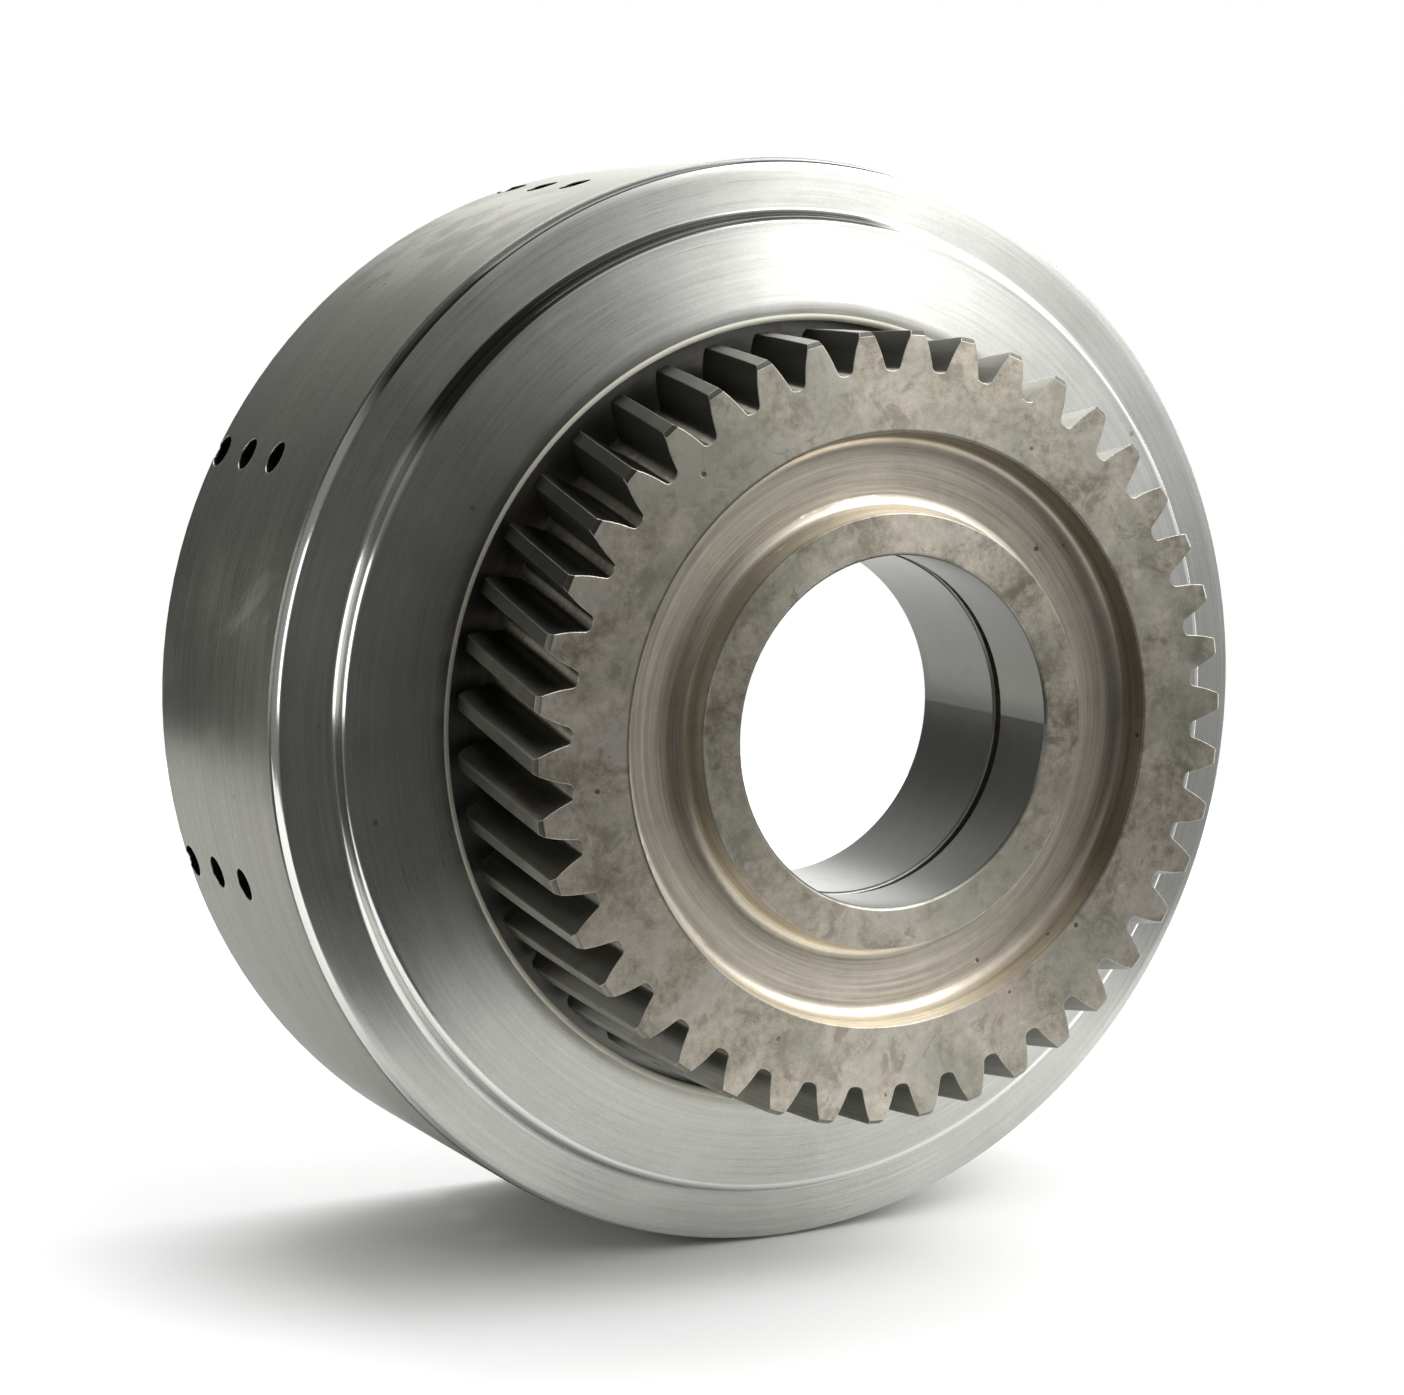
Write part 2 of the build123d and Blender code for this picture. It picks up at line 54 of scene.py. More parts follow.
# ---------------------------------------------------------------------------
# a short way to write shader graphs
# ---------------------------------------------------------------------------
class Graph:
    """Builds one material. Lengths inside the graph are millimetres."""

    def __init__(self, name, centre=(0.0, 0.0)):
        self.mat = bpy.data.materials.new(name)
        self.mat.use_nodes = True
        self.nt = self.mat.node_tree
        self.nt.nodes.clear()
        self.out = self.nt.nodes.new("ShaderNodeOutputMaterial")
        self.bsdf = self.nt.nodes.new("ShaderNodeBsdfPrincipled")
        self.nt.links.new(self.bsdf.outputs["BSDF"], self.out.inputs["Surface"])
        tc = self.nt.nodes.new("ShaderNodeTexCoord")
        mm = self.node("ShaderNodeVectorMath", operation="SCALE")
        self.put(tc.outputs["Object"], mm.inputs[0])
        mm.inputs["Scale"].default_value = 1000.0
        off = self.node("ShaderNodeVectorMath", operation="SUBTRACT")
        self.put(mm.outputs[0], off.inputs[0])
        off.inputs[1].default_value = (centre[0], 0.0, centre[1])
        self.p = off.outputs[0]
        sep = self.node("ShaderNodeSeparateXYZ")
        self.put(self.p, sep.inputs[0])
        self.x, self.y, self.z = sep.outputs[0], sep.outputs[1], sep.outputs[2]
        self.r = self.m("SQRT", self.m("ADD", self.m("MULTIPLY", self.x, self.x), self.m("MULTIPLY", self.z, self.z)))
        safe = self.m("MAXIMUM", self.r, 0.01)
        self.cx = self.m("DIVIDE", self.x, safe)
        self.cz = self.m("DIVIDE", self.z, safe)
        self.geo = self.node("ShaderNodeNewGeometry")
        nsep = self.node("ShaderNodeSeparateXYZ")
        tcn = self.node("ShaderNodeTexCoord")
        self.put(tcn.outputs["Normal"], nsep.inputs[0])
        self.nx, self.ny, self.nz = nsep.outputs[0], nsep.outputs[1], nsep.outputs[2]

    def node(self, kind, **props):
        n = self.nt.nodes.new(kind)
        for k, v in props.items():
            setattr(n, k, v)
        return n

    def put(self, value, socket):
        if isinstance(value, bpy.types.NodeSocket):
            self.nt.links.new(value, socket)
        elif isinstance(value, (tuple, list)) and len(value) == 3 and socket.type == "RGBA":
            socket.default_value = (*value, 1.0)
        else:
            socket.default_value = value

    def m(self, op, a, b=None, c=None, clamp=False):
        n = self.node("ShaderNodeMath", operation=op, use_clamp=clamp)
        self.put(a, n.inputs[0])
        if b is not None:
            self.put(b, n.inputs[1])
        if c is not None:
            self.put(c, n.inputs[2])
        return n.outputs[0]

    def vec(self, x, y, z):
        n = self.node("ShaderNodeCombineXYZ")
        self.put(x, n.inputs[0]); self.put(y, n.inputs[1]); self.put(z, n.inputs[2])
        return n.outputs[0]

    def scaled(self, v, s):
        n = self.node("ShaderNodeVectorMath", operation="MULTIPLY")
        self.put(v, n.inputs[0])
        n.inputs[1].default_value = s if isinstance(s, (tuple, list)) else (s, s, s)
        return n.outputs[0]

    def shift(self, v, s):
        n = self.node("ShaderNodeVectorMath", operation="ADD")
        self.put(v, n.inputs[0])
        n.inputs[1].default_value = s
        return n.outputs[0]

    def noise(self, v, scale=1.0, detail=2.0, rough=0.5, distortion=0.0, lac=2.0):
        n = self.node("ShaderNodeTexNoise", noise_dimensions="3D")
        self.put(v, n.inputs["Vector"])
        n.inputs["Scale"].default_value = scale
        n.inputs["Detail"].default_value = detail
        n.inputs["Roughness"].default_value = rough
        n.inputs["Lacunarity"].default_value = lac
        n.inputs["Distortion"].default_value = distortion
        return n.outputs["Fac"]

    def cells(self, v, scale=1.0, feature="F1", rnd=1.0):
        n = self.node("ShaderNodeTexVoronoi", feature=feature)
        self.put(v, n.inputs["Vector"])
        n.inputs["Scale"].default_value = scale
        n.inputs["Randomness"].default_value = rnd
        return n

    def band(self, v, a, b, lo=0.0, hi=1.0):
        """0 below a, 1 above b, smooth between."""
        n = self.node("ShaderNodeMapRange", interpolation_type="SMOOTHSTEP")
        self.put(v, n.inputs["Value"])
        n.inputs["From Min"].default_value = a
        n.inputs["From Max"].default_value = b
        n.inputs["To Min"].default_value = lo
        n.inputs["To Max"].default_value = hi
        return n.outputs["Result"]

    def line(self, v, a, b, lo=0.0, hi=1.0):
        n = self.node("ShaderNodeMapRange", interpolation_type="LINEAR", clamp=True)
        self.put(v, n.inputs["Value"])
        n.inputs["From Min"].default_value = a
        n.inputs["From Max"].default_value = b
        n.inputs["To Min"].default_value = lo
        n.inputs["To Max"].default_value = hi
        return n.outputs["Result"]

    def near(self, v, centre, half, soft):
        """1 within half of centre, fading over soft."""
        d = self.m("ABSOLUTE", self.m("SUBTRACT", v, centre))
        return self.band(d, half, half + soft, 1.0, 0.0)

    def mix(self, f, a, b, mode="MIX"):
        n = self.node("ShaderNodeMix", data_type="RGBA", blend_type=mode)
        self.put(f, n.inputs[0])
        self.put(a, n.inputs[6])
        self.put(b, n.inputs[7])
        return n.outputs[2]

    def fmix(self, f, a, b):
        n = self.node("ShaderNodeMix", data_type="FLOAT")
        self.put(f, n.inputs[0])
        self.put(a, n.inputs[2])
        self.put(b, n.inputs[3])
        return n.outputs[0]

    def ring(self, along=None, around=1.0):
        """Coordinates whose noise is drawn out round the axis, as turning marks are."""
        p = along if along is not None else self.m("ADD", self.r, self.m("MULTIPLY", self.y, 1.37))
        return self.vec(p, self.m("MULTIPLY", self.cx, around), self.m("MULTIPLY", self.cz, around))

    def bump(self, height, distance, strength=1.0, normal=None):
        """height is a 0..1 socket, distance the depth in millimetres."""
        n = self.node("ShaderNodeBump")
        n.inputs["Strength"].default_value = strength
        n.inputs["Distance"].default_value = distance / 1000.0
        self.put(height, n.inputs["Height"])
        if normal is not None:
            self.put(normal, n.inputs["Normal"])
        return n.outputs["Normal"]

    def edge(self, radius, lo=0.02, hi=0.25):
        """1 on convex and concave edges, from a rounded normal against the true one."""
        b = self.node("ShaderNodeBevel", samples=6)
        b.inputs["Radius"].default_value = radius / 1000.0
        d = self.node("ShaderNodeVectorMath", operation="DOT_PRODUCT")
        self.put(b.outputs["Normal"], d.inputs[0])
        self.put(self.geo.outputs["Normal"], d.inputs[1])
        away = self.m("SUBTRACT", 1.0, d.outputs["Value"])
        return self.band(away, lo, hi), b.outputs["Normal"]

    def surface(self, colour, rough, normal=None, metallic=1.0, aniso=0.0, coat=0.0):
        b = self.bsdf
        self.put(colour, b.inputs["Base Color"])
        self.put(rough, b.inputs["Roughness"])
        b.inputs["Metallic"].default_value = metallic
        if normal is not None:
            self.put(normal, b.inputs["Normal"])
        if aniso:
            b.inputs["Anisotropic"].default_value = aniso
            b.inputs["Anisotropic Rotation"].default_value = 0.25
            t = self.node("ShaderNodeTangent", direction_type="RADIAL", axis="Y")
            self.put(t.outputs["Tangent"], b.inputs["Tangent"])
        return self.mat


def dress(name, mat):
    me = nodes[name].data
    for i in range(len(me.materials)):
        me.materials[i] = mat
    if not len(me.materials):
        me.materials.append(mat)


# ---------------------------------------------------------------------------
# drum: ground and turned steel, a little oxidised, pitted and stained
# ---------------------------------------------------------------------------
def drum_steel():
    g = Graph("drum_steel_turned")
    side = g.band(g.r, 127.5, 128.5)                        # outside surface
    fine = g.noise(g.ring(around=2.2), 2.6, 3.0, 0.6)       # turning marks about 0.4 mm apart
    mid = g.noise(g.ring(around=1.4), 0.55, 3.0, 0.6)
    broad = g.noise(g.ring(around=3.0), 0.12, 2.0, 0.5)
    cloud = g.noise(g.p, 0.018, 5.0, 0.62)
    speck = g.noise(g.p, 0.9, 3.0, 0.7)
    tone = g.m("ADD", g.m("MULTIPLY", g.m("SUBTRACT", fine, 0.5), 0.75),
               g.m("ADD", g.m("MULTIPLY", g.m("SUBTRACT", mid, 0.5), 0.60),
                   g.m("ADD", g.m("MULTIPLY", g.m("SUBTRACT", cloud, 0.5), 0.75),
                       g.m("MULTIPLY", g.m("SUBTRACT", speck, 0.5), 0.45))))
    level = g.m("ADD", 0.5, tone, clamp=True)
    base = g.mix(level, (0.09, 0.09, 0.074), (0.33, 0.33, 0.285))
    # water stains: hard-edged pale patches
    warp = g.noise(g.p, 0.035, 6.0, 0.68, 0.6)
    stain = g.m("MULTIPLY", g.band(warp, 0.575, 0.64), g.band(cloud, 0.46, 0.60))
    base = g.mix(g.m("MULTIPLY", stain, 0.12), base, (0.42, 0.41, 0.37))
    # a wiped, paler blotch with dark runs across it, on the upper left of the outside
    away = g.node("ShaderNodeVectorMath", operation="DISTANCE")
    g.put(g.scaled(g.p, (1.0, 0.62, 1.0)), away.inputs[0])
    away.inputs[1].default_value = (-66.0, 32.0, 111.0)
    runs = g.noise(g.vec(g.m("MULTIPLY", g.y, 0.11), g.m("ADD", g.m("MULTIPLY", g.cx, 9.0), g.m("MULTIPLY", g.y, 0.05)), g.m("MULTIPLY", g.cz, 9.0)), 1.0, 4.0, 0.6, 0.4)
    blotch = g.m("MULTIPLY", g.band(g.m("ADD", away.outputs["Value"], g.m("MULTIPLY", warp, 16.0)), 40.0, 26.0), g.band(runs, 0.40, 0.56))
    base = g.mix(g.m("MULTIPLY", blotch, 0.34), base, (0.46, 0.46, 0.415))
    # painted shade inside the oil holes: their walls are coloured near black
    radial = g.m("ADD", g.m("MULTIPLY", g.nx, g.cx), g.m("MULTIPLY", g.nz, g.cz))
    hole_shade = g.m("MULTIPLY", g.band(radial, 0.50, 0.20), g.m("MULTIPLY", g.band(g.r, 119.4, 120.2), g.m("MULTIPLY", g.band(g.y, 4.6, 5.2), g.band(g.y, 78.9, 78.5))))
    base = g.mix(hole_shade, base, (0.02, 0.02, 0.018))
    # pits: sparse, dark, about half a millimetre
    pit_cells = g.cells(g.scaled(g.p, 0.16), 1.0)
    pit = g.m("MULTIPLY", g.band(pit_cells.outputs["Distance"], 0.055, 0.10, 1.0, 0.0),
              g.band(g.noise(g.p, 0.05, 2.0, 0.5), 0.56, 0.62))
    base = g.mix(g.m("MULTIPLY", pit, 0.8), base, (0.05, 0.045, 0.04))
    # scratches along the surface, short and faint
    scr = g.noise(g.vec(g.m("MULTIPLY", g.y, 0.5), g.m("MULTIPLY", g.cx, 90.0), g.m("MULTIPLY", g.cz, 90.0)), 0.8, 2.0, 0.7)
    scr = g.m("MULTIPLY", g.band(scr, 0.68, 0.74), 0.25)
    base = g.mix(scr, base, (0.5, 0.5, 0.47))
    worn, rounded = g.edge(0.55)
    base = g.mix(g.m("MULTIPLY", worn, 0.75), base, (0.62, 0.62, 0.59))
    rough = g.m("ADD", g.fmix(fine, 0.30, 0.42), g.m("MULTIPLY", g.m("SUBTRACT", cloud, 0.5), 0.25))
    rough = g.m("ADD", rough, g.m("MULTIPLY", stain, 0.07), clamp=True)
    rough = g.m("SUBTRACT", rough, g.m("MULTIPLY", worn, 0.10))
    h = g.m("ADD", g.m("MULTIPLY", fine, 0.55), g.m("MULTIPLY", mid, 0.45))
    h = g.m("SUBTRACT", h, g.m("MULTIPLY", pit, 3.0))
    h = g.m("ADD", h, g.m("MULTIPLY", speck, 0.25))
    n = g.bump(h, 0.012, 1.0, rounded)
    return g.surface(base, rough, n, aniso=0.62)


# ---------------------------------------------------------------------------
# cover: fine-turned face, radial light streaks
# ---------------------------------------------------------------------------
def cover_steel():
    g = Graph("cover_steel_turned")
    fine = g.noise(g.ring(around=1.6), 3.4, 3.0, 0.6)
    mid = g.noise(g.ring(around=1.0), 0.9, 3.0, 0.62)
    # each pass of the tool wanders a little round the face
    sweep = g.noise(g.vec(g.m("MULTIPLY", g.r, 0.05), g.m("MULTIPLY", g.cx, 6.0), g.m("MULTIPLY", g.cz, 6.0)), 1.0, 4.0, 0.6)
    cloud = g.noise(g.p, 0.022, 5.0, 0.6)
    grain = g.noise(g.p, 1.6, 3.0, 0.65)
    tone = g.m("ADD", g.m("MULTIPLY", g.m("SUBTRACT", fine, 0.5), 0.80),
               g.m("ADD", g.m("MULTIPLY", g.m("SUBTRACT", mid, 0.5), 0.62),
                   g.m("ADD", g.m("MULTIPLY", g.m("SUBTRACT", cloud, 0.5), 0.60),
                       g.m("ADD", g.m("MULTIPLY", g.m("SUBTRACT", sweep, 0.5), 0.50),
                           g.m("MULTIPLY", g.m("SUBTRACT", grain, 0.5), 0.45)))))
    level = g.m("ADD", 0.5, tone, clamp=True)
    base = g.mix(level, (0.365, 0.368, 0.345), (0.67, 0.672, 0.635))
    # warm film near the opening, left by oil
    lip = g.m("MULTIPLY", g.band(g.r, 92.0, 99.0, 1.0, 0.0), g.band(g.noise(g.ring(around=3.0), 0.2, 3.0, 0.6), 0.35, 0.65))
    base = g.mix(g.m("MULTIPLY", lip, 0.30), base, (0.42, 0.38, 0.27))
    spot_cells = g.cells(g.scaled(g.p, 0.085), 1.0)
    spot = g.m("MULTIPLY", g.band(spot_cells.outputs["Distance"], 0.03, 0.075, 1.0, 0.0),
               g.band(g.noise(g.p, 0.04, 2.0, 0.5), 0.55, 0.60))
    base = g.mix(g.m("MULTIPLY", spot, 0.55), base, (0.13, 0.12, 0.10))
    worn, rounded = g.edge(0.30)
    base = g.mix(g.m("MULTIPLY", worn, 0.5), base, (0.80, 0.80, 0.76))
    # rubbed bright on the step's arcs and the rim's taper; the lip gets a painted highlight further down
    arcs = g.near(g.r, 116.2, 1.5, 0.5)
    taper = g.band(g.r, 128.8, 129.0)
    lip_highlight = g.m("MULTIPLY", g.band(g.r, 93.7, 93.4), g.band(g.y, -7.9, -8.3))
    rub = g.m("MAXIMUM", arcs, taper)
    base = g.mix(g.m("MULTIPLY", rub, 0.7), base, (0.80, 0.80, 0.77))
    # painted shade: black in the step's corner and on the rim's taper along the upper-left side, where they fall in
    # shade
    side = g.band(g.m("ADD", g.m("MULTIPLY", g.cx, -0.375), g.m("MULTIPLY", g.cz, 0.927)), 0.78, 0.87)
    shaded_step_and_taper = g.m("MULTIPLY", side, g.m("MAXIMUM", g.near(g.r, 116.5, 1.15, 0.5), g.band(g.r, 128.6, 128.8)))
    base = g.mix(g.m("MULTIPLY", shaded_step_and_taper, 0.96), base, (0.012, 0.012, 0.011))
    rough = g.m("ADD", g.fmix(fine, 0.24, 0.36), g.m("MULTIPLY", g.m("SUBTRACT", cloud, 0.5), 0.14))
    rough = g.fmix(g.m("MULTIPLY", rub, 0.8), rough, 0.13)
    # the lip coloured near white and made rough: partly a worn band, partly a painted highlight line along it
    base = g.mix(g.m("MULTIPLY", lip_highlight, 0.95), base, (0.97, 0.95, 0.84))
    rough = g.fmix(lip_highlight, rough, 0.72)
    rough = g.m("SUBTRACT", rough, g.m("MULTIPLY", worn, 0.08), clamp=True)
    h = g.m("ADD", g.m("MULTIPLY", fine, 0.6), g.m("MULTIPLY", mid, 0.4))
    h = g.m("SUBTRACT", h, g.m("MULTIPLY", spot, 1.5))
    n = g.bump(h, 0.008, 1.0, rounded)
    return g.surface(base, rough, n, aniso=0.70)


# ---------------------------------------------------------------------------
# helical gear: case-hardened, brown-grey cloudy face, ground flanks
# ---------------------------------------------------------------------------
def gear_steel():
    g = Graph("gear_steel_hardened")
    front = g.band(g.m("MULTIPLY", g.ny, -1.0), 0.80, 0.95)
    in_recess = g.m("MULTIPLY", g.band(g.r, 49.2, 49.6), g.band(g.r, 67.9, 67.5))
    deep = g.band(g.y, -49.45, -48.8)
    recess = g.m("MULTIPLY", in_recess, deep)
    bore = g.band(g.r, 40.5, 40.1)
    teeth = g.m("MULTIPLY", g.band(g.r, 80.8, 81.6), g.m("SUBTRACT", 1.0, front))
    # cloudy film of the heat treatment
    warp = g.noise(g.p, 0.045, 4.0, 0.6, 0.8)
    cloud = g.noise(g.shift(g.scaled(g.p, 1.0), (31.0, 7.0, 11.0)), 0.075, 6.0, 0.62, 0.5)
    small = g.noise(g.p, 0.45, 4.0, 0.65)
    grain = g.noise(g.p, 3.0, 2.0, 0.6)
    level = g.m("ADD", 0.5, g.m("ADD", g.m("MULTIPLY", g.m("SUBTRACT", cloud, 0.5), 2.1),
                                g.m("ADD", g.m("MULTIPLY", g.m("SUBTRACT", small, 0.5), 1.2),
                                    g.m("MULTIPLY", g.m("SUBTRACT", grain, 0.5), 0.7))), clamp=True)
    face = g.mix(level, (0.225, 0.20, 0.152), (0.70, 0.645, 0.548))
    patch = g.m("MULTIPLY", g.band(warp, 0.54, 0.60), 0.42)      # paler patches
    face = g.mix(patch, face, (0.58, 0.555, 0.51))
    dark = g.m("MULTIPLY", g.band(g.noise(g.shift(g.p, (90.0, 0.0, 40.0)), 0.10, 5.0, 0.65, 0.7), 0.56, 0.63), 0.55)
    face = g.mix(dark, face, (0.23, 0.20, 0.16))
    # greenish and reddish drifts in the film
    drift = g.noise(g.shift(g.p, (10.0, 0.0, 260.0)), 0.03, 3.0, 0.55)
    face = g.mix(g.band(drift, 0.50, 0.66, 0.0, 0.45), face, (0.33, 0.345, 0.285))
    face = g.mix(g.band(drift, 0.46, 0.34, 0.0, 0.35), face, (0.54, 0.46, 0.40))
    # turned recess and hub
    turn = g.noise(g.ring(around=1.4), 1.7, 3.0, 0.6)
    turn_broad = g.noise(g.ring(around=0.8), 0.45, 2.0, 0.5)
    tlevel = g.m("ADD", 0.5, g.m("ADD", g.m("MULTIPLY", g.m("SUBTRACT", turn, 0.5), 1.5),
                                 g.m("MULTIPLY", g.m("SUBTRACT", turn_broad, 0.5), 1.2)), clamp=True)
    turned = g.mix(tlevel, (0.42, 0.375, 0.298), (0.94, 0.872, 0.75))
    col = g.mix(g.m("MULTIPLY", recess, 0.75), face, turned)
    # painted shade: the recess's outer corner coloured dark, left off at the bottom where the corner is lit
    corner = g.m("MULTIPLY", g.near(g.r, 67.0, 0.75, 0.6), g.band(g.y, -50.6, -50.0))
    corner = g.m("MULTIPLY", corner, g.band(g.cz, -0.80, -0.45))
    col = g.mix(g.m("MULTIPLY", corner, 0.72), col, (0.075, 0.062, 0.045))
    # ground tooth flanks, marks run across the tooth; their dark colour is partly the flanks' own tone and partly
    # painted shade for the deep tooth spaces, with lighter tip lands
    flank_n = g.noise(g.vec(g.m("MULTIPLY", g.r, 2.6), g.m("MULTIPLY", g.y, 0.06), g.m("MULTIPLY", g.cx, 1.0)), 1.0, 3.0, 0.6)
    flank = g.mix(flank_n, (0.10, 0.099, 0.086), (0.235, 0.232, 0.205))
    flank = g.mix(g.m("MULTIPLY", g.band(g.r, 89.2, 89.8), 0.8), flank, g.mix(flank_n, (0.16, 0.16, 0.135), (0.32, 0.32, 0.275)))
    flank = g.mix(g.m("MULTIPLY", g.band(cloud, 0.5, 0.62), 0.35), flank, (0.13, 0.105, 0.075))
    # painted shade: the tooth flanks on the upper-left side are coloured near black, where the tooth spaces fall in
    # shade
    shaded_side_teeth = g.band(g.m("ADD", g.m("MULTIPLY", g.cx, -0.56), g.m("MULTIPLY", g.cz, 0.83)), 0.52, 0.86)
    flank = g.mix(g.m("MULTIPLY", shaded_side_teeth, 0.68), flank, (0.026, 0.026, 0.022))
    col = g.mix(teeth, col, flank)
    # smooth ground bore
    bturn = g.noise(g.ring(around=1.0), 2.2, 2.0, 0.6)
    bcol = g.mix(g.m("ADD", g.m("MULTIPLY", bturn, 0.6), g.m("MULTIPLY", cloud, 0.4)), (0.12, 0.12, 0.108), (0.25, 0.25, 0.228))
    col = g.mix(bore, col, bcol)
    # rust and knocks
    pit_cells = g.cells(g.scaled(g.p, 0.11), 1.0)
    pit = g.m("MULTIPLY", g.band(pit_cells.outputs["Distance"], 0.045, 0.095, 1.0, 0.0),
              g.band(g.noise(g.p, 0.06, 2.0, 0.5), 0.53, 0.58))
    pit = g.m("MULTIPLY", pit, g.m("SUBTRACT", 1.0, bore))
    col = g.mix(g.m("MULTIPLY", pit, 0.75), col, (0.085, 0.05, 0.03))
    worn, rounded = g.edge(0.32)
    chip = g.band(g.noise(g.p, 1.3, 3.0, 0.7), 0.40, 0.62)
    worn = g.m("MULTIPLY", worn, g.fmix(chip, 0.55, 1.0))
    col = g.mix(g.m("MULTIPLY", worn, 0.85), col, (0.72, 0.70, 0.65))
    rough = g.fmix(recess, g.fmix(level, 0.50, 0.38), g.fmix(turn, 0.36, 0.44))
    rough = g.fmix(teeth, rough, 0.36)
    rough = g.fmix(bore, rough, g.fmix(bturn, 0.28, 0.37))
    rough = g.m("SUBTRACT", rough, g.m("MULTIPLY", worn, 0.12), clamp=True)
    h = g.fmix(recess, g.m("ADD", g.m("MULTIPLY", small, 0.5), g.m("MULTIPLY", grain, 0.25)), g.m("MULTIPLY", turn, 0.9))
    h = g.fmix(teeth, h, flank_n)
    h = g.fmix(bore, h, g.m("MULTIPLY", bturn, 0.25))
    h = g.m("SUBTRACT", h, g.m("MULTIPLY", pit, 3.0))
    n = g.bump(h, 0.018, 1.0, rounded)
    return g.surface(col, rough, n, aniso=0.55)


# ---------------------------------------------------------------------------
# inside parts
# ---------------------------------------------------------------------------
def machined(name, dark, light, rough=(0.28, 0.40), scale=1.6, around=1.4, bump=0.010, centre=(0.0, 0.0),
             stain=(0.16, 0.12, 0.08), stain_amount=0.35, edge=0.35, aniso=0.0, edge_colour=(0.70, 0.70, 0.67), bore=None):
    g = Graph(name, centre)
    fine = g.noise(g.ring(around=around), scale, 3.0, 0.6)
    broad = g.noise(g.ring(around=0.8), scale * 0.25, 2.0, 0.5)
    cloud = g.noise(g.p, 0.05, 5.0, 0.62, 0.4)
    grain = g.noise(g.p, 2.4, 2.0, 0.6)
    level = g.m("ADD", 0.5, g.m("ADD", g.m("MULTIPLY", g.m("SUBTRACT", fine, 0.5), 0.6),
                                g.m("ADD", g.m("MULTIPLY", g.m("SUBTRACT", broad, 0.5), 0.4),
                                    g.m("MULTIPLY", g.m("SUBTRACT", cloud, 0.5), 0.7))), clamp=True)
    col = g.mix(level, dark, light)
    film = g.m("MULTIPLY", g.band(cloud, 0.54, 0.64), stain_amount)
    col = g.mix(film, col, stain)
    if bore:        # a honed bore inside this radius
        inside = g.band(g.r, bore + 0.4, bore)
        col = g.mix(inside, col, g.mix(g.m("ADD", g.m("MULTIPLY", fine, 0.6), g.m("MULTIPLY", cloud, 0.4)),
                                       (0.11, 0.11, 0.10), (0.23, 0.23, 0.21)))
    pit_cells = g.cells(g.scaled(g.p, 0.2), 1.0)
    pit = g.m("MULTIPLY", g.band(pit_cells.outputs["Distance"], 0.05, 0.11, 1.0, 0.0),
              g.band(g.noise(g.p, 0.09, 2.0, 0.5), 0.56, 0.60))
    col = g.mix(g.m("MULTIPLY", pit, 0.6), col, (0.05, 0.04, 0.03))
    worn, rounded = g.edge(edge)
    col = g.mix(g.m("MULTIPLY", worn, 0.7), col, edge_colour)
    rg = g.m("ADD", g.fmix(fine, rough[0], rough[1]), g.m("MULTIPLY", film, 0.3))
    rg = g.m("SUBTRACT", rg, g.m("MULTIPLY", worn, 0.08), clamp=True)
    h = g.m("ADD", g.m("MULTIPLY", fine, 0.8), g.m("MULTIPLY", grain, 0.2))
    h = g.m("SUBTRACT", h, g.m("MULTIPLY", pit, 2.0))
    return g.surface(col, rg, g.bump(h, bump, 1.0, rounded), aniso=aniso)


def oxide(name):
    """Black oxide with an oily sheen and bare metal on the corners."""
    g = Graph(name)
    cloud = g.noise(g.p, 0.22, 5.0, 0.62)
    grain = g.noise(g.p, 3.2, 3.0, 0.6)
    level = g.m("ADD", g.m("MULTIPLY", cloud, 0.6), g.m("MULTIPLY", grain, 0.4), clamp=True)
    col = g.mix(level, (0.018, 0.018, 0.020), (0.075, 0.072, 0.068))
    worn, rounded = g.edge(0.35)
    col = g.mix(g.m("MULTIPLY", worn, g.band(cloud, 0.35, 0.6)), col, (0.38, 0.37, 0.35))
    rg = g.fmix(grain, 0.28, 0.46)
    return g.surface(col, rg, g.bump(grain, 0.010, 1.0, rounded), metallic=0.9)


drum_mat = drum_steel()
cover_mat = cover_steel()
gear_mat = gear_steel()
inner_mat = machined("inner_steel_turned", (0.20, 0.20, 0.185), (0.46, 0.455, 0.43))
sun_mat = machined("gear_steel_sun", (0.34, 0.335, 0.31), (0.60, 0.59, 0.56), rough=(0.28, 0.38), scale=2.2, stain_amount=0.18,
                   bump=0.005, bore=40.1)
ground_mat = machined("ground_steel_polished", (0.36, 0.36, 0.35), (0.60, 0.60, 0.59), rough=(0.14, 0.24), scale=3.0,
                      stain_amount=0.12, bump=0.004, edge=0.25)
bronze_mat = machined("bronze_turned", (0.42, 0.27, 0.12), (0.70, 0.50, 0.25), rough=(0.26, 0.38), scale=1.8,
                      stain=(0.20, 0.11, 0.05), stain_amount=0.45, edge_colour=(0.85, 0.66, 0.38))
oxide_mat = oxide("black_oxide_oiled")

dress("drum", drum_mat)
dress("front_cover", cover_mat)
dress("input_gear", gear_mat)
for n in ("ring_gear", "carrier_front", "carrier_rear"):
    dress(n, inner_mat)
dress("sun_hub", sun_mat)
for n in ("planet_pins", "gear_rollers", "carrier_dowels", "cover_dowels",
          "planet_needles_1", "planet_needles_2", "planet_needles_3", "planet_needles_4"):
    dress(n, ground_mat)
for n in ("gear_thrust_washer", "sun_front_washer", "sun_rear_washer", "cover_thrust_washer",
          "planet_front_washers", "planet_rear_washers", "gear_bearing_cage"):
    dress(n, bronze_mat)
for n in ("carrier_bolts", "pin_keepers", "ring_gear_snap_ring"):
    dress(n, oxide_mat)
for k in range(4):
    a = math.radians(45 + 90 * k)
    dress("planet_%d" % (k + 1), machined("gear_steel_planet_%d" % (k + 1), (0.22, 0.21, 0.185), (0.46, 0.44, 0.40),
                                          scale=1.8, centre=(82.5 * math.cos(a), 82.5 * math.sin(a))))


